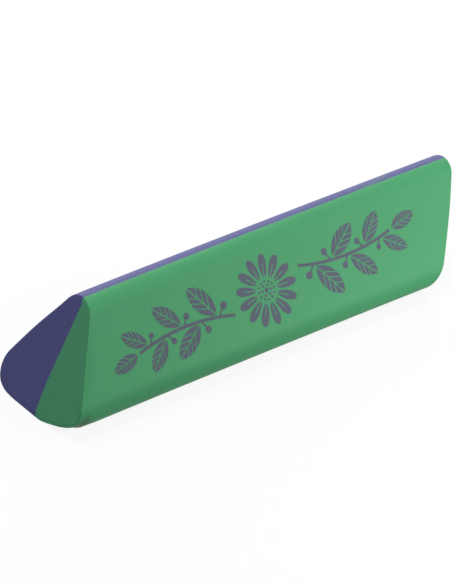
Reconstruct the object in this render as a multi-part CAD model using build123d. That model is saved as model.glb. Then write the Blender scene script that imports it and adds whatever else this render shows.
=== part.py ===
from build123d import *
import os
from math import cos, radians, sin, sqrt, tan

# Bar eraser of triangular section, moulded in two colours that are bonded side by side.
# It lies on its flat base with the ridge up: +X runs along the bar, the green flank faces -Y
# and the blue flank +Y. Both ends are cut on one slant, so the bar is a parallelogram from the side.

# Driving dimensions, in millimetres and degrees
bar_length = 60.0     # from one end cut to the other, along any long edge
side_length = 20.1    # side of the section's triangle, before its corners are rounded
corner_radius = 3.0   # rounding of the three long edges
flank_crown = 0.36    # swell of each sloping flank beyond its straight side
end_slant = 27.5      # lean of both end cuts from upright, with the ridge towards +X
seam_offset = 0.4     # bond between the colours, from the middle plane towards the green flank

# Places that follow from them
ridge_height = side_length * sqrt(3) / 2
green_foot = (-side_length / 2, 0)
blue_foot = (side_length / 2, 0)
ridge = (0, ridge_height)


def bar_section():
    """Section across the bar: flat base, two gently swelling flanks and three round corners."""
    with BuildSketch(Plane.YZ) as section:
        with BuildLine():
            Line(green_foot, blue_foot)
            SagittaArc(blue_foot, ridge, -flank_crown)
            SagittaArc(ridge, green_foot, -flank_crown)
        make_face()
        fillet(section.vertices(), corner_radius)
    return section.sketch


def end_plane(along, mid_height):
    """Plane of one end cut, leaning about the bar's mid-height and facing +X."""
    lean = radians(end_slant)
    return Plane(origin=(along, 0, mid_height), z_dir=(cos(lean), 0, -sin(lean)))


def slanted_bar():
    """The whole bar: its section drawn out along X and sliced at both ends by parallel cuts."""
    section = bar_section()
    height = section.bounding_box().size.Z
    overrun = height * tan(radians(end_slant))
    stock = extrude(section, amount=bar_length / 2 + overrun, both=True)
    near_cut = end_plane(-bar_length / 2, height / 2)
    far_cut = end_plane(bar_length / 2, height / 2)
    trimmed = split(stock, bisect_by=near_cut, keep=Keep.TOP)
    return split(trimmed, bisect_by=far_cut, keep=Keep.BOTTOM)


def write_half(name, bar, side):
    """One colour of the bar, on its side of the bond, as its own file."""
    bond = Plane(origin=(0, -seam_offset, 0), z_dir=(0, 1, 0))
    half = split(bar, bisect_by=bond, keep=side).solid()
    half.label = name
    export_step(half, f"parts/{name}.step")


os.makedirs("parts", exist_ok=True)
eraser_bar = slanted_bar()
write_half("green_half", eraser_bar, Keep.BOTTOM)
write_half("blue_half", eraser_bar, Keep.TOP)
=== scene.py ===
import math

import bmesh
import bpy
from bpy.props import FloatProperty, FloatVectorProperty, IntProperty, PointerProperty
from bpy.types import Operator, Panel, PropertyGroup
from mathutils import Matrix, Vector


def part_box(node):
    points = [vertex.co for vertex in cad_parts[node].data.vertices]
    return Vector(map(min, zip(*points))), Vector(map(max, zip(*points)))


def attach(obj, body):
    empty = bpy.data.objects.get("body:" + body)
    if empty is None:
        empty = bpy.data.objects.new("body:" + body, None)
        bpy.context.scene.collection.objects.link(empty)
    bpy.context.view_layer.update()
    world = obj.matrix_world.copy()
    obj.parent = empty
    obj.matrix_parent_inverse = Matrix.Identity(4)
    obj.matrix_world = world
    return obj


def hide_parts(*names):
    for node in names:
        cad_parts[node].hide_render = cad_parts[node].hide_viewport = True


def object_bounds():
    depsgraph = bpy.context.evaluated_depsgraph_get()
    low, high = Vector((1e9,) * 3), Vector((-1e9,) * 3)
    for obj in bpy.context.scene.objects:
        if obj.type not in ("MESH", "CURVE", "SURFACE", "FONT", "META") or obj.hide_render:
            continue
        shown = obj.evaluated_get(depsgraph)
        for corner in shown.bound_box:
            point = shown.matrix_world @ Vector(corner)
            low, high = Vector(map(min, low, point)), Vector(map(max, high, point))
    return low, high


bl_info = {
    "name": "Two-tone bar eraser",
    "version": (1, 0, 0),
    "blender": (4, 5, 0),
    "location": "3D View > Sidebar > Eraser",
    "description": "Models a bonded triangular bar eraser with a printed flank, and a studio for it",
    "category": "Object",
}

# The bar lies on its base with the ridge up. +X runs along it, the green flank faces -Y and the
# blue flank +Y. All lengths are in metres, as in the frame, but the camera's lens and sensor are
# in millimetres.
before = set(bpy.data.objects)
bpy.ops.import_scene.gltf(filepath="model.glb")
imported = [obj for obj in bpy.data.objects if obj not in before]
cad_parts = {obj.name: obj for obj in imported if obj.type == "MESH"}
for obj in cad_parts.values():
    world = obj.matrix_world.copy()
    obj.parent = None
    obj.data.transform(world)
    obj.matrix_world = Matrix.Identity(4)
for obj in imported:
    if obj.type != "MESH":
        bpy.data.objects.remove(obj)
CAD_LOW, CAD_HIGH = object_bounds()
BOND_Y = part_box("green_half")[1].y
MM = 0.001
CUT_LENGTH = 60 * MM


def linear(hex_colour):
    """An sRGB colour such as "#80FF00" as linear red, green and blue."""
    shares = [int(hex_colour[i:i + 2], 16) / 255 for i in (1, 3, 5)]
    return [s / 12.92 if s <= 0.04045 else ((s + 0.055) / 1.055) ** 2.4 for s in shares]


def length_property(name, description, millimetres):
    """A length that a user may change, given in millimetres and kept in metres."""
    return FloatProperty(
        name=name, description=description, default=millimetres * MM, unit="LENGTH", precision=5)


def angle_property(name, description, degrees):
    """An angle that a user may change, given in degrees and kept in radians."""
    return FloatProperty(
        name=name, description=description, default=math.radians(degrees), subtype="ANGLE")


def colour_property(name, description, hex_colour):
    """A colour that a user may change."""
    return FloatVectorProperty(
        name=name, description=description, default=linear(hex_colour), subtype="COLOR", min=0, max=1)


def level_property(name, description, level):
    """A level of light at the bar that a user may change."""
    return FloatProperty(name=name, description=description, default=level, min=0)


class EraserBarSizes(PropertyGroup):
    """Sizes of the moulded bar and of its end cuts."""

    half_width: length_property(
        "Half width", "From the middle plane to the outside of a foot", -CAD_LOW.y / MM)
    height: length_property("Height", "From the base to the top of the ridge", CAD_HIGH.z / MM)
    cut_length: length_property("Length", "From one end cut to the other, along the bar", CUT_LENGTH / MM)
    overhang: length_property(
        "Overhang", "How far the ridge is ahead of the base at an end cut",
        (CAD_HIGH.x - CAD_LOW.x - CUT_LENGTH) / MM)
    bond: length_property("Bond", "Place of the bond between the colours, across the bar", BOND_Y / MM)
    ridge_bond: length_property("Ridge bond", "Place of the bond's line along the ridge", -0.14)
    corner_radius: length_property("Corner radius", "Rounding of the three long edges", 3.0)
    flank_radius: length_property("Flank radius", "Radius of the gentle swell of each flank", 140.0)
    cut_edge: length_property("Cut edge", "Width that the knife's edge is broken by", 0.07)
    bow: length_property("Bow", "How far the middle is bowed away from the green flank's side", 0.17)


class EraserCutFlaws(PropertyGroup):
    """Flaws that the knife left in the soft compound at the two cuts."""

    run: length_property("Run", "Length over which the flaws fade along the bar", 2.4)
    tip_lift: length_property("Tip lift", "How far the thin green tip is bent up at the near cut", 0.96)
    tip_recess: length_property("Tip recess", "How far the near cut is worn back above the tip", 0.16)
    bond_drag: length_property(
        "Bond drag", "How far the bond is dragged across at the base of the near cut", 0.6)
    near_shoulder: length_property(
        "Near shoulder", "How far the ridge's blue side is pressed in at the near cut", 0.17)
    foot_rise: length_property(
        "Foot rise", "How far the base is rounded up at the near cut's blue foot", 0.16)
    flank_press: length_property(
        "Flank press", "How far the green flank is pressed in at the near cut", 0.09)
    far_lean: length_property("Far lean", "How far the far cut leans back at its base", 0.2)
    far_swell: length_property("Far swell", "How far the far cut stands out below its ridge", 0.08)


class EraserPrintSizes(PropertyGroup):
    """Sizes of the printed design: a daisy with a leafy sprig on each side."""

    petals: IntProperty(name="Petals", description="Petals round the daisy", default=13, min=5, max=24)
    petal_length: length_property("Petal length", "From the daisy's heart to a petal's tip", 3.15)
    petal_width: length_property("Petal width", "Widest part of a petal", 1.5)
    heart_radius: length_property("Heart radius", "Radius of the daisy's dotted heart", 1.45)
    leaf_length: length_property("Leaf length", "Length of the largest leaf", 5.9)
    leaf_width: length_property("Leaf width", "Width of the largest leaf", 2.7)
    leaves: IntProperty(name="Leaves", description="Leaves along each stem", default=5, min=2, max=9)
    stem_length: length_property("Stem length", "Length of a sprig's stem", 15.6)
    stem_radius: length_property("Stem radius", "Radius of a stem's bend", 30.0)
    stem_width: length_property("Stem width", "Width of a stem's line", 0.42)
    vein_gap: length_property("Vein gap", "Bare line between the parts of a leaf or petal", 0.2)
    berry_radius: length_property("Berry radius", "Radius of the largest berry", 0.55)
    berry_reach: length_property("Berry reach", "From a stem's line to the largest berry's middle", 1.75)
    sprig_gap: length_property("Sprig gap", "Bare gap between the daisy and a sprig", 1.0)
    sprig_rise: length_property("Sprig rise", "How far a sprig starts off the daisy's middle line", 0.5)
    film: length_property("Film", "Thickness of the dried ink", 0.01)


class EraserFinishes(PropertyGroup):
    """Colours of the two compounds and of the ink."""

    green: colour_property("Green", "Colour of the green compound's moulded skin", "#459865")
    cut_green: colour_property("Cut green", "Colour of the green compound where it was cut", "#529F75")
    blue: colour_property("Blue", "Colour of the blue compound's moulded skin", "#505184")
    cut_blue: colour_property("Cut blue", "Colour of the blue compound where it was cut", "#585A90")
    ink: colour_property("Ink", "Colour of the printing ink", "#5B616F")


class EraserStudio(PropertyGroup):
    """Camera and lamps."""

    azimuth: angle_property("Azimuth", "Turn of the camera round the bar, 0 looks along +Y", -39.687)
    elevation: angle_property("Elevation", "Height of the camera above the horizon", 33.849)
    roll: angle_property("Roll", "Turn of the camera about its own axis", 3.261)
    distance: length_property("Distance", "From the camera to the point that it aims at", 593.64)
    aim: FloatVectorProperty(
        name="Aim", description="Point in the middle of the picture", subtype="TRANSLATION", unit="LENGTH",
        default=(-2.058 * MM, 0.653 * MM, 6.277 * MM))
    lens: FloatProperty(
        name="Lens", description="Focal length in millimetres", default=280.4, subtype="DISTANCE_CAMERA")
    ambient: level_property("Ambient", "Level of the light from all round", 0.27)
    top_level: level_property("Top lamp", "Level of the overhead lamp at the bar", 0.57)
    rear_level: level_property("Rear lamp", "Level of the lamp behind the far end, at the bar", 0.65)
    key_level: level_property("Key lamp", "Level of the front right lamp at the bar", 0.59)
    side_level: level_property("Side lamp", "Level of the low lamp in front, at the bar", 0.42)


# How finely the bar and the print are drawn
FOOT_STEPS = 22
FLANK_STEPS = 12
RIDGE_STEPS = 28
BASE_CUTS = 11
BOND_CUTS = 34
NEAR_STATIONS = 9
NEAR_CROWDING = 1.5
BODY_STATIONS = 22
CAP_RINGS = (0.9, 0.85, 0.7)
EDGE_SEGMENTS = 2
LEAF_STEPS = 18
PETAL_STEPS = 28
DOT_STEPS = 16
STEM_STEPS = 24
BERRY_STEPS = 20
# Strips that the print is cut into, so that it follows the flank's swell
STRIP_WIDTH = 1.4 * MM
STRIP_CUTS = 7


def smooth(share):
    """Eases from 0 to 1 as a share goes from 0 to 1."""
    share = min(max(share, 0), 1)
    return share * share * (3 - 2 * share)


def closeness(distance, reach):
    """1 at no distance, easing to 0 at the reach."""
    return 1 - smooth(abs(distance) / reach)


def flank_arc(bar):
    """Centre, middle angle and half sweep of the green flank's swell, tangent to both its roundings."""
    foot = Vector((bar.corner_radius - bar.half_width, bar.corner_radius))
    ridge = Vector((0, bar.height - bar.corner_radius))
    chord = ridge - foot
    outward = Vector((-chord.y, chord.x)).normalized()
    inner_radius = bar.flank_radius - bar.corner_radius
    half_sweep = math.asin(chord.length / 2 / inner_radius)
    centre = (foot + ridge) / 2 - outward * inner_radius * math.cos(half_sweep)
    return centre, math.atan2(outward.y, outward.x), half_sweep


def draw_section(bm, bar):
    """Traces the section clockwise from the green foot, one rounding or swell at a time, and fills it."""
    flank, middle, half_sweep = flank_arc(bar)
    foot_y = bar.half_width - bar.corner_radius
    straight_down = math.radians(270)
    foot_sweep = straight_down - middle - half_sweep
    ridge_sweep = 2 * (middle - half_sweep) - math.pi
    turns = (
        (-foot_y, bar.corner_radius, foot_sweep, FOOT_STEPS),
        (flank.x, flank.y, 2 * half_sweep, FLANK_STEPS),
        (0, bar.height - bar.corner_radius, ridge_sweep, RIDGE_STEPS),
        (-flank.x, flank.y, 2 * half_sweep, FLANK_STEPS),
        (foot_y, bar.corner_radius, foot_sweep, FOOT_STEPS),
    )
    start = bm.verts.new((0, -foot_y, 0))
    pen = start
    for y, z, sweep, steps in turns:
        turned = bmesh.ops.spin(bm, geom=[pen], cent=(0, y, z), axis=(1, 0, 0), angle=-sweep, steps=steps)
        pen = turned["geom_last"][0]
    base = bm.edges.new((pen, start))
    bmesh.ops.subdivide_edges(bm, edges=[base], cuts=BASE_CUTS)
    bmesh.ops.edgeloop_fill(bm, edges=bm.edges)


def everything(bm):
    """All vertices, edges and faces of a mesh."""
    return bm.verts[:] + bm.edges[:] + bm.faces[:]


def cut_stations(bar, flaws):
    """Places of the cuts along the bar, closer together at the ends, where the knife left its flaws."""
    near = [flaws.run * (i / NEAR_STATIONS) ** NEAR_CROWDING for i in range(1, NEAR_STATIONS + 1)]
    step = (bar.cut_length - 2 * flaws.run) / (BODY_STATIONS + 1)
    body = [flaws.run + step * i for i in range(1, BODY_STATIONS + 1)]
    return near + body + [bar.cut_length - place for place in reversed(near)]


# Where the flaws sit on the section and how far they reach
BOND_BEND = 1.0 * MM
BOND_REACH = 3.0 * MM
DRAG_HEIGHT = 1.9 * MM
DRAG_RUN = 5.0 * MM
TIP_RUN = 3.15 * MM
TIP_REACH = 6.35 * MM
TIP_HEIGHT = 2.8 * MM
TIP_CURL = 1.6
SHOULDER_HEIGHT = 13.2 * MM
SHOULDER_BELOW = 5.2 * MM
SHOULDER_ABOVE = 1.6 * MM
PRESS_REACH = 2.4 * MM
FOOT_INSET = 2.1 * MM
FLANK_DEPTH = 4.0 * MM
FLANK_MIDDLE = 7.5 * MM
FLANK_SPAN = 6.5 * MM
FLANK_RUN = 1.2 * MM
LEAN_HEIGHT = 8.0 * MM
SWELL_HEIGHT = 10.8 * MM
SWELL_REACH = 4.0 * MM

# Out of the two flanks, across the section: the bar's Y first and its Z second
FLANK_RISE = math.radians(30)
BLUE_SIDE = Vector((math.cos(FLANK_RISE), math.sin(FLANK_RISE)))
GREEN_SIDE = Vector((-BLUE_SIDE.x, BLUE_SIDE.y))


def bowed(bar, along):
    """How far the soft bar is bowed away from its green side, at a place along it from the near cut."""
    share = 2 * along / bar.cut_length - 1
    return bar.bow * (1 - share * share)


def settle(point, bar, flaws):
    """Moves a point of the straight bar, whose near cut is at x = 0, as moulding and cutting moved it."""
    x, y, z = point
    place = Vector((y, z))
    at_near = closeness(x, flaws.run)
    at_far = closeness(bar.cut_length - x, flaws.run)
    # The bond leans away from its line on the ridge, and the knife dragged it along the base
    lean = (bar.bond - bar.ridge_bond) * smooth((bar.height - z) / BOND_BEND)
    drag = flaws.bond_drag * math.exp(-z / DRAG_HEIGHT) * closeness(x, DRAG_RUN)
    moved = Vector(((lean - drag) * closeness(y - bar.ridge_bond, BOND_REACH), 0))
    # The bar lies slightly bowed, up to the straight edge of its blue foot
    moved.x += bowed(bar, x) * (1 - smooth(y / bar.half_width))
    # The thin green tip at the near cut was bent up, and the face above it worn back
    bend = smooth((max(-y, 0) / TIP_REACH) ** TIP_CURL)
    moved.y += flaws.tip_lift * bend * closeness(x, TIP_RUN) * closeness(z, TIP_HEIGHT)
    tip = Vector((-bar.half_width, bar.corner_radius))
    recess = flaws.tip_recess * at_near * closeness((place - tip).length, PRESS_REACH)
    # The knife pressed in the ridge's blue side at the near cut and lifted the blue foot
    above = z - SHOULDER_HEIGHT
    shoulder = closeness(above, SHOULDER_ABOVE if above > 0 else SHOULDER_BELOW)
    shoulder *= smooth(y / bar.corner_radius)
    moved -= BLUE_SIDE * flaws.near_shoulder * at_near * shoulder
    foot = Vector((bar.half_width - FOOT_INSET, 0))
    moved.y += flaws.foot_rise * at_near * closeness((place - foot).length, PRESS_REACH)
    # It pressed in the green flank as well
    flank = (bar.height - bar.corner_radius) * GREEN_SIDE.y + bar.corner_radius
    dent = closeness(flank - place.dot(GREEN_SIDE), FLANK_DEPTH)
    dent *= closeness(z - FLANK_MIDDLE, FLANK_SPAN) * closeness(x, FLANK_RUN)
    moved -= GREEN_SIDE * flaws.flank_press * dent
    # The far cut leans back towards the base and swells a little higher up
    recess -= flaws.far_lean * at_far * closeness(z, LEAN_HEIGHT)
    recess += flaws.far_swell * at_far * closeness(z - SWELL_HEIGHT, SWELL_REACH)
    return Vector((x + recess, y + moved.x, z + moved.y))


# Material slots of a half
SKIN, CUT, BURR = 0, 1, 2
# Past these limits a face looks along the bar, two places differ and an edge is sharp
END_FACING = 0.9
SAME_PLACE = 0.0001 * MM
SHARP_ANGLE = math.radians(40)


def model_half(bar, flaws, keep_green):
    """One colour of the bar: half of the section drawn out, cut into lengths, flawed and slanted."""
    bm = bmesh.new()
    draw_section(bm, bar)
    parted = bmesh.ops.bisect_plane(
        bm, geom=everything(bm), plane_co=(0, bar.ridge_bond, 0), plane_no=(0, 1, 0),
        clear_outer=keep_green, clear_inner=not keep_green)
    bond = [e for e in parted["geom_cut"] if isinstance(e, bmesh.types.BMEdge)]
    bmesh.ops.subdivide_edges(bm, edges=bond, cuts=BOND_CUTS)
    drawn = bmesh.ops.extrude_face_region(bm, geom=bm.faces[:])
    far = [v for v in drawn["geom"] if isinstance(v, bmesh.types.BMVert)]
    bmesh.ops.translate(bm, vec=(bar.cut_length, 0, 0), verts=far)
    for station in cut_stations(bar, flaws):
        bmesh.ops.bisect_plane(bm, geom=everything(bm), plane_co=(station, 0, 0), plane_no=(1, 0, 0))
    bmesh.ops.recalc_face_normals(bm, faces=bm.faces)

    # Rings on the two ends let the flaws bend them
    for cap in [f for f in bm.faces if abs(f.normal.x) > END_FACING]:
        middle = Matrix.Translation(-cap.calc_center_median())
        for share in CAP_RINGS:
            ring = bmesh.ops.extrude_discrete_faces(bm, faces=[cap])
            cap = ring["faces"][0]
            bmesh.ops.scale(bm, vec=(1, share, share), space=middle, verts=cap.verts)
    bm.normal_update()
    for face in bm.faces:
        face.smooth = True
        face.material_index = CUT if abs(face.normal.x) > END_FACING else SKIN
    cut_edges = [
        e for e in bm.edges
        if {f.material_index for f in e.link_faces} == {SKIN, CUT}
        and any(abs(v.co.y - bar.ridge_bond) > SAME_PLACE for v in e.verts)]

    for vert in bm.verts:
        vert.co = settle(vert.co, bar, flaws)
    slant = Matrix.Identity(4)
    slant[0][2] = bar.overhang / bar.height
    slant[0][3] = -(bar.cut_length + bar.overhang) / 2
    bmesh.ops.transform(bm, matrix=slant, verts=bm.verts)
    broken = bmesh.ops.bevel(
        bm, geom=cut_edges, offset=bar.cut_edge, segments=EDGE_SEGMENTS, profile=0.5, affect="EDGES",
        material=-1)
    for face in broken["faces"]:
        face.material_index = BURR
    bmesh.ops.recalc_face_normals(bm, faces=bm.faces)
    for edge in bm.edges:
        edge.smooth = edge.calc_face_angle(0) < SHARP_ANGLE
    return bm


def add_piece(name, bm, materials):
    """Makes an object of a finished mesh, at the origin, riding on the eraser's only body."""
    mesh = bpy.data.meshes.new(name)
    bm.to_mesh(mesh)
    bm.free()
    for material in materials:
        mesh.materials.append(material)
    piece = bpy.data.objects.new(name, mesh)
    bpy.context.scene.collection.objects.link(piece)
    weighted = piece.modifiers.new("Even shading", "WEIGHTED_NORMAL")
    weighted.keep_sharp = True
    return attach(piece, "root")


def stamp(bm, motif, place):
    """Adds a copy of a motif to the print, moved by a matrix."""
    copy = motif.copy()
    copy.transform(place)
    bm.from_mesh(copy)
    bpy.data.meshes.remove(copy)


def as_motif(name, bm):
    """Keeps a flat drawing as a mesh that can be stamped."""
    motif = bpy.data.meshes.new(name)
    bm.to_mesh(motif)
    bm.free()
    return motif


def slit(bm, faces, point, direction, gap):
    """Takes a straight bare line of that width out of some flat faces."""
    across = Vector((-direction.y, direction.x, 0))
    before = set(bm.faces) - set(faces)
    for side in (-gap / 2, gap / 2):
        target = [f for f in bm.faces if f not in before]
        edges = dict.fromkeys(e for f in target for e in f.edges)
        verts = dict.fromkeys(v for f in target for v in f.verts)
        bmesh.ops.bisect_plane(
            bm, geom=[*target, *edges, *verts], plane_co=point + across * side, plane_no=across)
    bare = [
        f for f in bm.faces
        if f not in before and abs((f.calc_center_median() - point).dot(across)) < gap / 2]
    bmesh.ops.delete(bm, geom=bare, context="FACES")


# Proportions of a leaf: places of its side veins along it, their turn and their width beside the midrib's
VEIN_PLACES = (0.22, 0.42, 0.62)
VEIN_TURN = math.radians(38)
SIDE_VEIN = 0.75


def leaf_motif(sizes):
    """A leaf along +X from its stalk: two half blades beside a bare midrib, with bare side veins."""
    bm = bmesh.new()
    length = sizes.leaf_length
    swell = sizes.leaf_width / 2
    radius = (length ** 2 / 4 + swell ** 2) / (2 * swell)
    stalk = bm.verts.new((0, 0, 0))
    edge = bmesh.ops.spin(
        bm, geom=[stalk], cent=(length / 2, swell - radius, 0), axis=(0, 0, 1),
        angle=-2 * math.asin(length / 2 / radius), steps=LEAF_STEPS)
    bm.edges.new((edge["geom_last"][0], stalk))
    bmesh.ops.edgeloop_fill(bm, edges=bm.edges)
    bmesh.ops.translate(bm, vec=(0, sizes.vein_gap / 2, 0), verts=bm.verts)
    heading = Vector((math.cos(VEIN_TURN), math.sin(VEIN_TURN), 0))
    for share in VEIN_PLACES:
        slit(bm, bm.faces[:], Vector((length * share, 0, 0)), heading, sizes.vein_gap * SIDE_VEIN)
    bmesh.ops.mirror(bm, geom=everything(bm), axis="Y", merge_dist=0)
    return as_motif("leaf", bm)


# Proportions of the daisy: a petal's width at its middle and its gain from root to tip, its bare line's
# length and width, and for each ring of the heart its reach, its dots and their size
PETAL_MIDDLE = 0.78
PETAL_GAIN = 0.44
PETAL_LINE = 0.58
PETAL_LINE_WIDTH = 0.7
HEART_RINGS = ((0, 1, 0.22), (0.48, 6, 0.13), (0.84, 12, 0.12))


def daisy_motif(sizes):
    """A daisy about the origin: petals with a bare line from their root, round a heart of dots."""
    bm = bmesh.new()
    bmesh.ops.create_circle(bm, cap_ends=True, radius=0.5, segments=PETAL_STEPS)
    bmesh.ops.scale(bm, vec=(sizes.petal_length, sizes.petal_width, 1), verts=bm.verts)
    for vert in bm.verts:
        vert.co.y *= PETAL_MIDDLE + PETAL_GAIN * vert.co.x / sizes.petal_length
    root = sizes.heart_radius + sizes.vein_gap
    bmesh.ops.translate(bm, vec=(root + sizes.petal_length / 2, 0, 0), verts=bm.verts)
    line_end = root + sizes.petal_length * PETAL_LINE
    bmesh.ops.bisect_plane(bm, geom=everything(bm), plane_co=(line_end, 0, 0), plane_no=(1, 0, 0))
    inner = [f for f in bm.faces if f.calc_center_median().x < line_end]
    slit(bm, inner, Vector((0, 0, 0)), Vector((1, 0, 0)), sizes.vein_gap * PETAL_LINE_WIDTH)
    turn = 2 * math.pi / sizes.petals
    bmesh.ops.spin(
        bm, geom=everything(bm), cent=(0, 0, 0), axis=(0, 0, 1), angle=turn * (sizes.petals - 1),
        steps=sizes.petals - 1, use_duplicate=True)
    for reach, count, size in HEART_RINGS:
        for i in range(count):
            place = Matrix.Rotation(2 * math.pi * i / count, 4, "Z") @ Matrix.Translation(
                (reach * sizes.heart_radius, 0, 0))
            bmesh.ops.create_circle(
                bm, cap_ends=True, radius=size * sizes.heart_radius, segments=DOT_STEPS, matrix=place)
    return as_motif("daisy", bm)


# Proportions of a sprig: where its first leaf starts and what is left past its last one, both counted in
# leaves, how much smaller the leaves get, their turn and their gap from the stem in stem widths, the turn
# of the berries, the width of their threads in stem widths, and the size of the leaf at its end
FIRST_LEAF = 0.9
STEM_SPARE = 0.6
LEAF_TAPER = 0.34
LEAF_SPLAY = math.radians(44)
LEAF_GAP = 1.4
BERRY_SPLAY = math.radians(122)
THREAD_WIDTH = 0.6
END_LEAF = 0.7


def sprig_motif(sizes):
    """A sprig that starts at the origin and bends up along +X: stem, alternate leaves and berries."""
    bm = bmesh.new()
    centre = Vector((sizes.stem_length / 2, sizes.stem_radius, 0))
    sweep = sizes.stem_length / sizes.stem_radius
    first = Matrix.Translation(centre) @ Matrix.Rotation(-sweep / 2, 4, "Z")
    half_line = Vector((0, sizes.stem_width / 2, 0))
    start = Vector((0, -sizes.stem_radius, 0))
    ends = [bm.verts.new(first @ place) for place in (start - half_line, start + half_line)]
    line = bm.edges.new(ends)
    bmesh.ops.spin(bm, geom=[line], cent=centre, axis=(0, 0, 1), angle=sweep, steps=STEM_STEPS)

    def along(share):
        """The stem's place and heading at a share of its length."""
        turn = Matrix.Translation(centre) @ Matrix.Rotation(sweep * (share - 0.5), 4, "Z")
        return turn @ Matrix.Translation(start)

    leaf = leaf_motif(sizes)
    for i in range(sizes.leaves):
        share = (i + FIRST_LEAF) / (sizes.leaves + STEM_SPARE)
        side = 1 if i % 2 else -1
        size = 1 - LEAF_TAPER * share
        reach = sizes.berry_reach * size
        splay = Matrix.Rotation(side * LEAF_SPLAY, 4, "Z")
        clear = Matrix.Translation((sizes.stem_width * LEAF_GAP, 0, 0))
        stamp(bm, leaf, along(share) @ splay @ clear @ Matrix.Scale(size, 4))
        stalk = along(share) @ Matrix.Rotation(side * BERRY_SPLAY, 4, "Z")
        berry = stalk @ Matrix.Translation((reach, 0, 0))
        bmesh.ops.create_circle(
            bm, cap_ends=True, radius=sizes.berry_radius * size, segments=BERRY_STEPS, matrix=berry)
        thread = stalk @ Matrix.Translation((reach / 2, 0, 0)) @ Matrix.Diagonal(
            (reach, sizes.stem_width * THREAD_WIDTH, 1, 1))
        bmesh.ops.create_grid(bm, x_segments=1, y_segments=1, size=0.5, matrix=thread)
    end = along(1) @ Matrix.Translation((sizes.stem_width, 0, 0))
    stamp(bm, leaf, end @ Matrix.Scale(END_LEAF, 4))
    bpy.data.meshes.remove(leaf)
    return as_motif("sprig", bm)


def model_print(bar, sizes):
    """The design drawn flat about the flank's middle, given its thickness and laid on the green flank."""
    bm = bmesh.new()
    daisy = daisy_motif(sizes)
    sprig = sprig_motif(sizes)
    stamp(bm, daisy, Matrix.Identity(4))
    reach = sizes.heart_radius + sizes.petal_length + sizes.sprig_gap
    for half_turn in (0, math.pi):
        place = Matrix.Rotation(half_turn, 4, "Z") @ Matrix.Translation((reach, sizes.sprig_rise, 0))
        stamp(bm, sprig, place)
    for motif in (daisy, sprig):
        bpy.data.meshes.remove(motif)
    for i in range(STRIP_CUTS):
        across = (i - STRIP_CUTS // 2) * STRIP_WIDTH
        bmesh.ops.bisect_plane(bm, geom=everything(bm), plane_co=(0, across, 0), plane_no=(0, 1, 0))
    bmesh.ops.recalc_face_normals(bm, faces=bm.faces)
    bmesh.ops.solidify(bm, geom=bm.faces[:], thickness=sizes.film)
    # The flat film is wrapped round the flank's swell and follows the bar's bow
    centre, middle, _ = flank_arc(bar)
    lowest = min(v.co.z for v in bm.verts)
    for vert in bm.verts:
        angle = middle - vert.co.y / bar.flank_radius
        radius = bar.flank_radius + vert.co.z - lowest
        x = vert.co.x
        y = centre.x + radius * math.cos(angle)
        z = centre.y + radius * math.sin(angle)
        along = x + (bar.cut_length + bar.overhang) / 2 - bar.overhang * z / bar.height
        vert.co = (x, y + bowed(bar, along), z)
    bmesh.ops.recalc_face_normals(bm, faces=bm.faces)
    return bm


# Sockets of a Mix node for colours
FACTOR, FIRST, SECOND, MIXED = 0, 6, 7, 2


def add(tree, kind, into=None, **settings):
    """Adds one node with its settings. Into maps its sockets to values or to other nodes' outputs."""
    node = tree.nodes.new("ShaderNode" + kind)
    for name, value in settings.items():
        setattr(node, name, value)
    for socket, value in (into or {}).items():
        if isinstance(value, bpy.types.NodeSocket):
            tree.links.new(value, node.inputs[socket])
        else:
            node.inputs[socket].default_value = value
    return node


def blank_material(name):
    """A new material, its node tree, its shader and the surface point in metres."""
    material = bpy.data.materials.new(name)
    material.use_nodes = True
    tree = material.node_tree
    return material, tree, tree.nodes["Principled BSDF"], add(tree, "TexCoord").outputs["Object"]


def scaled(colour, level, dust=0):
    """A linear colour made lighter or darker, with some white dust on it, as a socket takes it."""
    return [min(c * level + dust, 1) for c in colour] + [1]


def specks(tree, point, spacing, radius, share):
    """1 on small round specks. Each cell of that spacing may hold one, and only a share of them does."""
    cells = add(tree, "TexVoronoi", {"Vector": point, "Scale": 1 / spacing}).outputs
    draw = add(tree, "SeparateColor", {"Color": cells["Color"]}).outputs["Red"]
    there = add(tree, "Math", {0: draw, 1: share}, operation="LESS_THAN").outputs[0]
    reach = {"Value": cells["Distance"], "From Min": radius / spacing, "From Max": radius / spacing / 2}
    disc = add(tree, "MapRange", reach).outputs[0]
    return add(tree, "Math", {0: there, 1: disc}, operation="MULTIPLY").outputs[0]


def streak(tree, point, start, end, width):
    """1 along a soft straight streak between two places, fading to 0 at its width."""
    run = Vector(end) - Vector(start)
    pace = run / run.length_squared
    offset = add(tree, "VectorMath", {0: point, 1: start}, operation="SUBTRACT").outputs[0]
    along = add(tree, "VectorMath", {0: offset, 1: pace}, operation="DOT_PRODUCT").outputs["Value"]
    share = add(tree, "Clamp", {"Value": along}).outputs[0]
    nearest = add(tree, "VectorMath", {0: run, "Scale": share}, operation="SCALE").outputs[0]
    gap = add(tree, "VectorMath", {0: offset, 1: nearest}, operation="DISTANCE").outputs["Value"]
    fade = {"Value": gap, "From Min": width, "From Max": 0.0}
    return add(tree, "MapRange", fade, interpolation_type="SMOOTHSTEP").outputs[0]


# Sizes of the patterns. The filler's grains are about 0.05 mm across, which is too fine to show, so the
# grain of both vinyls and the specks of chalk are drawn three to four times as coarse.
CLOUD_SIZE = 7.0 * MM
SKIN_GRAIN = 0.18 * MM
SKIN_CHALK = {"spacing": 1.1 * MM, "radius": 0.1 * MM, "share": 0.3}
CUT_GRAIN = 0.15 * MM
CUT_CHALK = {"spacing": 0.5 * MM, "radius": 0.1 * MM, "share": 0.3}
BURR_SIZE = 0.5 * MM
INK_GRAIN = 0.3 * MM
SKIN_RELIEF = 0.006 * MM
CUT_RELIEF = 0.015 * MM
VINYL_IOR = 1.53

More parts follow.
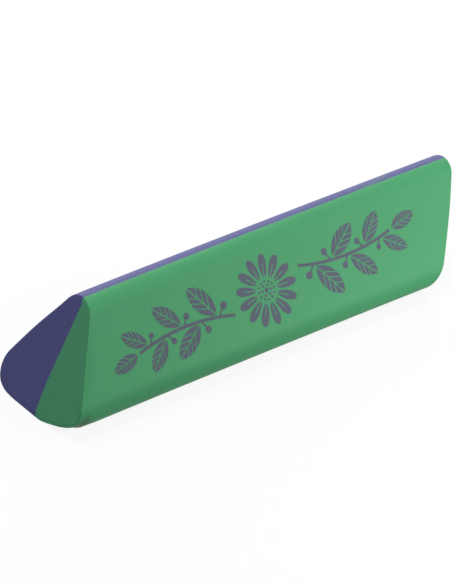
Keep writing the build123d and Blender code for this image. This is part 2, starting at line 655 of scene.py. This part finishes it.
# The two moulded skins: sheen, and a streak of colour. The green's streak is painted shade with a grime tint
# under its bent tip, where the tip faces the floor, and the blue has some green that was dragged over the
# ridge in the mould.
GREEN_SKIN = {
    "roughness": 0.53, "specular": 0.135, "strength": 0.7, "stain_and_shade": linear("#3D5E43"), "width": 2.0 * MM,
    "start": (-33.0 * MM, -7.2 * MM, 1.0 * MM), "end": (-31.2 * MM, -8.0 * MM, 2.0 * MM)}
BLUE_SKIN = {
    "roughness": 0.67, "specular": 0.18, "strength": 0.26, "stain_and_shade": linear("#4A9566"), "width": 0.5 * MM,
    "start": (19.0 * MM, -0.15 * MM, 14.9 * MM), "end": (24.2 * MM, 0.85 * MM, 14.8 * MM)}
ROUGHNESS_SPREAD = 0.07

# How strongly the opened filler mottles the two cuts
GREEN_GRIT = 0.33
BLUE_GRIT = 0.55


def moulded_vinyl(name, colour, skin):
    """Soft PVC compound, pressed in a polished mould: an even matte skin with a low sheen.

    The eye sees slow clouds in the colour, a fine grain, a few pale specks of chalk filler and a streak,
    which is a real stain on the blue and painted shade with a grime tint under the green's bent tip.
    """
    material, tree, shader, point = blank_material(name)
    cloud = add(tree, "TexNoise", {"Vector": point, "Scale": 1 / CLOUD_SIZE, "Detail": 3.0}).outputs[0]
    grain = add(tree, "TexNoise", {"Vector": point, "Scale": 1 / SKIN_GRAIN, "Detail": 2.0}).outputs[0]
    chalk = specks(tree, point, **SKIN_CHALK)
    # The streak: painted shade with a grime tint under the green's bent tip, a real green smear over the
    # blue ridge
    stain_and_shade_streak = streak(tree, point, skin["start"], skin["end"], skin["width"])
    stain_and_shade_share = add(tree, "Math", {0: stain_and_shade_streak, 1: skin["strength"]}, operation="MULTIPLY").outputs[0]
    deep = scaled(colour, 0.85)
    full = scaled(colour, 1.01)
    dusty = scaled(colour, 1.11, dust=0.01)
    chalky = scaled(colour, 1.35)
    clouded = {FACTOR: cloud, FIRST: deep, SECOND: full}
    tone = add(tree, "Mix", clouded, data_type="RGBA").outputs[MIXED]
    grained = {FACTOR: grain, FIRST: tone, SECOND: dusty}
    tone = add(tree, "Mix", grained, data_type="RGBA").outputs[MIXED]
    stain_and_shade_mix = {FACTOR: stain_and_shade_share, FIRST: tone, SECOND: [*skin["stain_and_shade"], 1]}
    tone = add(tree, "Mix", stain_and_shade_mix, data_type="RGBA").outputs[MIXED]
    speckled = {FACTOR: chalk, FIRST: tone, SECOND: chalky}
    tone = add(tree, "Mix", speckled, data_type="RGBA").outputs[MIXED]
    tree.links.new(tone, shader.inputs["Base Color"])
    lowest = skin["roughness"] - ROUGHNESS_SPREAD
    highest = skin["roughness"] + ROUGHNESS_SPREAD
    rough = add(tree, "MapRange", {"Value": grain, "To Min": lowest, "To Max": highest})
    tree.links.new(rough.outputs[0], shader.inputs["Roughness"])
    bump = add(tree, "Bump", {"Height": grain, "Distance": SKIN_RELIEF, "Strength": 0.6})
    tree.links.new(bump.outputs[0], shader.inputs["Normal"])
    shader.inputs["IOR"].default_value = VINYL_IOR
    shader.inputs["Specular IOR Level"].default_value = skin["specular"]
    return material


def sliced_vinyl(name, colour, grit):
    """The same compound where the knife went through: duller, with the filler's grains laid open.

    The eye sees a dry mottled face with many pale specks.
    """
    material, tree, shader, point = blank_material(name)
    grain = add(tree, "TexNoise", {"Vector": point, "Scale": 1 / CUT_GRAIN, "Detail": 2.0}).outputs[0]
    chalk = specks(tree, point, **CUT_CHALK)
    deep = scaled(colour, 1 - grit)
    dusty = scaled(colour, 1 + 0.9 * grit, dust=0.01)
    chalky = scaled(colour, 1.3, dust=0.02)
    mottled = {FACTOR: grain, FIRST: deep, SECOND: dusty}
    tone = add(tree, "Mix", mottled, data_type="RGBA").outputs[MIXED]
    speckled = {FACTOR: chalk, FIRST: tone, SECOND: chalky}
    tone = add(tree, "Mix", speckled, data_type="RGBA").outputs[MIXED]
    tree.links.new(tone, shader.inputs["Base Color"])
    rough = add(tree, "MapRange", {"Value": grain, "To Min": 0.75, "To Max": 0.95})
    tree.links.new(rough.outputs[0], shader.inputs["Roughness"])
    bump = add(tree, "Bump", {"Height": grain, "Distance": CUT_RELIEF, "Strength": 0.7})
    tree.links.new(bump.outputs[0], shader.inputs["Normal"])
    shader.inputs["IOR"].default_value = VINYL_IOR
    shader.inputs["Specular IOR Level"].default_value = 0.1
    return material


def burred_vinyl(name, colour):
    """The same compound along a cut edge, where the knife raised a thin burr that is pale in places."""
    material, tree, shader, point = blank_material(name)
    ragged = add(tree, "TexNoise", {"Vector": point, "Scale": 1 / BURR_SIZE, "Detail": 2.0}).outputs[0]
    raised = add(tree, "MapRange", {"Value": ragged, "From Min": 0.55, "From Max": 0.68}).outputs[0]
    pale = scaled(colour, 1.9)
    burred = {FACTOR: raised, FIRST: [*colour, 1], SECOND: pale}
    tone = add(tree, "Mix", burred, data_type="RGBA").outputs[MIXED]
    tree.links.new(tone, shader.inputs["Base Color"])
    rough = add(tree, "MapRange", {"Value": ragged, "To Min": 0.6, "To Max": 0.9})
    tree.links.new(rough.outputs[0], shader.inputs["Roughness"])
    shader.inputs["IOR"].default_value = VINYL_IOR
    shader.inputs["Specular IOR Level"].default_value = 0.15
    return material


def pad_print_ink(name, colour):
    """Slate ink put on with a soft pad: a thin flat film, matte and with a faint grain."""
    material, tree, shader, point = blank_material(name)
    grain = add(tree, "TexNoise", {"Vector": point, "Scale": 1 / INK_GRAIN, "Detail": 3.0}).outputs[0]
    thick = scaled(colour, 0.85)
    thin = scaled(colour, 1.15)
    grained = {FACTOR: grain, FIRST: thick, SECOND: thin}
    tone = add(tree, "Mix", grained, data_type="RGBA").outputs[MIXED]
    tree.links.new(tone, shader.inputs["Base Color"])
    rough = add(tree, "MapRange", {"Value": grain, "To Min": 0.6, "To Max": 0.75})
    tree.links.new(rough.outputs[0], shader.inputs["Roughness"])
    shader.inputs["Specular IOR Level"].default_value = 0.15
    return material


# The floor's half width, the share of its look that glows white, the white of the rest, and the grey that
# it throws light back with
FLOOR_REACH = 2.0
FLOOR_GLOW = 0.9
FLOOR_WHITE = (0.9, 0.9, 0.9, 1)
FLOOR_DULL = (0.14, 0.14, 0.14, 1)

# Where each lamp stands: its direction from the bar, its distance and its width
LAMPS = {
    "top": ((-0.1, 0.28, 0.93), 0.7, 0.5),
    "rear": ((0.5, 0.8, 0.4), 0.5, 0.3),
    "key": ((0.77, -0.58, 0.36), 0.28, 0.19),
    "side": ((0.6, -0.8, 0.05), 0.096, 0.02),
}

# The camera's sensor and the nearest distance that it shows
SENSOR_WIDTH = 36
NEAREST_SHOWN = 0.01


def seen_rays(tree):
    """1 for the rays that see the background: the camera's, mirrored and let through."""
    path = add(tree, "LightPath").outputs
    seen = add(tree, "Math", {0: path["Is Camera Ray"], 1: path["Is Glossy Ray"]}, operation="MAXIMUM")
    seen = add(tree, "Math", {0: seen.outputs[0], 1: path["Is Transmission Ray"]}, operation="MAXIMUM")
    return seen.outputs[0]


def white_world(studio):
    """A world that looks white and lights the bar evenly at the ambient level."""
    world = bpy.data.worlds.new("studio_world")
    world.use_nodes = True
    tree = world.node_tree
    background = tree.nodes["Background"]
    level = add(tree, "MapRange", {"Value": seen_rays(tree), "To Min": studio.ambient, "To Max": 1.0})
    tree.links.new(level.outputs[0], background.inputs["Strength"])
    background.inputs["Color"].default_value = (1, 1, 1, 1)
    bpy.context.scene.world = world


def pale_floor():
    """A floor that looks nearly white and keeps a faint shadow, but throws little light back."""
    bm = bmesh.new()
    bmesh.ops.create_grid(bm, x_segments=1, y_segments=1, size=FLOOR_REACH)
    mesh = bpy.data.meshes.new("studio_floor")
    bm.to_mesh(mesh)
    bm.free()
    floor = bpy.data.objects.new("studio_floor", mesh)
    bpy.context.scene.collection.objects.link(floor)
    material = bpy.data.materials.new("studio_floor")
    material.use_nodes = True
    tree = material.node_tree
    tree.nodes.remove(tree.nodes["Principled BSDF"])
    shaded = add(tree, "BsdfDiffuse", {"Color": FLOOR_WHITE}).outputs[0]
    glow = add(tree, "Emission", {"Strength": 1.0}).outputs[0]
    looks = add(tree, "MixShader", {0: FLOOR_GLOW, 1: shaded, 2: glow}).outputs[0]
    dull = add(tree, "BsdfDiffuse", {"Color": FLOOR_DULL}).outputs[0]
    chosen = add(tree, "MixShader", {0: seen_rays(tree), 1: dull, 2: looks}).outputs[0]
    tree.links.new(chosen, tree.nodes["Material Output"].inputs["Surface"])
    mesh.materials.append(material)


def soft_lamp(name, direction, distance, size, level):
    """A square lamp that faces the bar and gives that level of light on a surface that faces it."""
    lamp = bpy.data.lights.new(name, "AREA")
    lamp.size = size
    lamp.energy = level * (math.pi * distance) ** 2
    holder = bpy.data.objects.new(name, lamp)
    bpy.context.scene.collection.objects.link(holder)
    away = Vector(direction).normalized()
    holder.location = away * distance
    holder.rotation_mode = "QUATERNION"
    holder.rotation_quaternion = away.to_track_quat("Z", "Y")
    holder.visible_camera = False


def aim_camera(studio):
    """The camera at the photograph's angle."""
    lens = bpy.data.cameras.new("picture")
    lens.lens = studio.lens
    lens.sensor_width = SENSOR_WIDTH
    lens.clip_start = NEAREST_SHOWN
    camera = bpy.data.objects.new("picture", lens)
    bpy.context.scene.collection.objects.link(camera)
    level = math.cos(studio.elevation)
    back = Vector((
        math.sin(studio.azimuth) * level, -math.cos(studio.azimuth) * level, math.sin(studio.elevation)))
    camera.location = Vector(studio.aim) + back * studio.distance
    camera.rotation_mode = "QUATERNION"
    upright = (-back).to_track_quat("-Z", "Y")
    camera.rotation_quaternion = upright @ Matrix.Rotation(studio.roll, 3, "Z").to_quaternion()
    bpy.context.scene.camera = camera


class ERASER_OT_green_half(Operator):
    """Model the green half of the bar, with its flank and its share of the base"""

    bl_idname = "eraser.green_half"
    bl_label = "Green half"

    def execute(self, context):
        colours = context.scene.eraser_finishes
        bm = model_half(context.scene.eraser_bar, context.scene.eraser_flaws, keep_green=True)
        finishes = [
            moulded_vinyl("moulded_green_vinyl", colours.green, GREEN_SKIN),
            sliced_vinyl("sliced_green_vinyl", colours.cut_green, GREEN_GRIT),
            burred_vinyl("burred_green_vinyl", colours.green)]
        piece = add_piece("green_half_vinyl", bm, finishes)
        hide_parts("green_half")
        return {"FINISHED"}


class ERASER_OT_blue_half(Operator):
    """Model the blue half of the bar, with the ridge and its share of the base"""

    bl_idname = "eraser.blue_half"
    bl_label = "Blue half"

    def execute(self, context):
        colours = context.scene.eraser_finishes
        bm = model_half(context.scene.eraser_bar, context.scene.eraser_flaws, keep_green=False)
        finishes = [
            moulded_vinyl("moulded_blue_vinyl", colours.blue, BLUE_SKIN),
            sliced_vinyl("sliced_blue_vinyl", colours.cut_blue, BLUE_GRIT),
            burred_vinyl("burred_blue_vinyl", colours.blue)]
        piece = add_piece("blue_half_vinyl", bm, finishes)
        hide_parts("blue_half")
        return {"FINISHED"}


class ERASER_OT_flank_print(Operator):
    """Lay the printed daisy and its sprigs on the green flank"""

    bl_idname = "eraser.flank_print"
    bl_label = "Flank print"

    def execute(self, context):
        scene = context.scene
        bm = model_print(scene.eraser_bar, scene.eraser_print)
        piece = add_piece("flank_print_ink", bm, [pad_print_ink("pad_print_ink", scene.eraser_finishes.ink)])
        return {"FINISHED"}


class ERASER_OT_studio(Operator):
    """Set up the floor, the world, the lamps and the camera"""

    bl_idname = "eraser.studio"
    bl_label = "Studio"

    def execute(self, context):
        studio = context.scene.eraser_studio
        white_world(studio)
        pale_floor()
        for name, (direction, distance, size) in LAMPS.items():
            soft_lamp(name + "_lamp", direction, distance, size, getattr(studio, name + "_level"))
        aim_camera(studio)
        context.scene.view_settings.view_transform = "Standard"
        return {"FINISHED"}


class ERASER_PT_builder(Panel):
    """Sidebar panel that lists the pieces and their sizes"""

    bl_idname = "ERASER_PT_builder"
    bl_label = "Bar eraser"
    bl_space_type = "VIEW_3D"
    bl_region_type = "UI"
    bl_category = "Eraser"

    def draw(self, context):
        for operator in OPERATORS:
            self.layout.operator(operator.bl_idname)
        for pointer, group in GROUPS.items():
            box = self.layout.box()
            for name in group.__annotations__:
                box.prop(getattr(context.scene, pointer), name)


GROUPS = {
    "eraser_bar": EraserBarSizes,
    "eraser_flaws": EraserCutFlaws,
    "eraser_print": EraserPrintSizes,
    "eraser_finishes": EraserFinishes,
    "eraser_studio": EraserStudio,
}
OPERATORS = (ERASER_OT_green_half, ERASER_OT_blue_half, ERASER_OT_flank_print, ERASER_OT_studio)
CLASSES = (*GROUPS.values(), *OPERATORS, ERASER_PT_builder)


def register():
    """Makes the sizes, the operators and the panel known to Blender."""
    for cls in CLASSES:
        bpy.utils.register_class(cls)
    for pointer, group in GROUPS.items():
        setattr(bpy.types.Scene, pointer, PointerProperty(type=group))


def unregister():
    """Takes them away again."""
    for pointer in GROUPS:
        delattr(bpy.types.Scene, pointer)
    for cls in reversed(CLASSES):
        bpy.utils.unregister_class(cls)


def main():
    """Builds every piece and the stage."""
    register()
    bpy.ops.eraser.green_half()
    bpy.ops.eraser.blue_half()
    bpy.ops.eraser.flank_print()
    bpy.ops.eraser.studio()


if __name__ == "__main__":
    main()
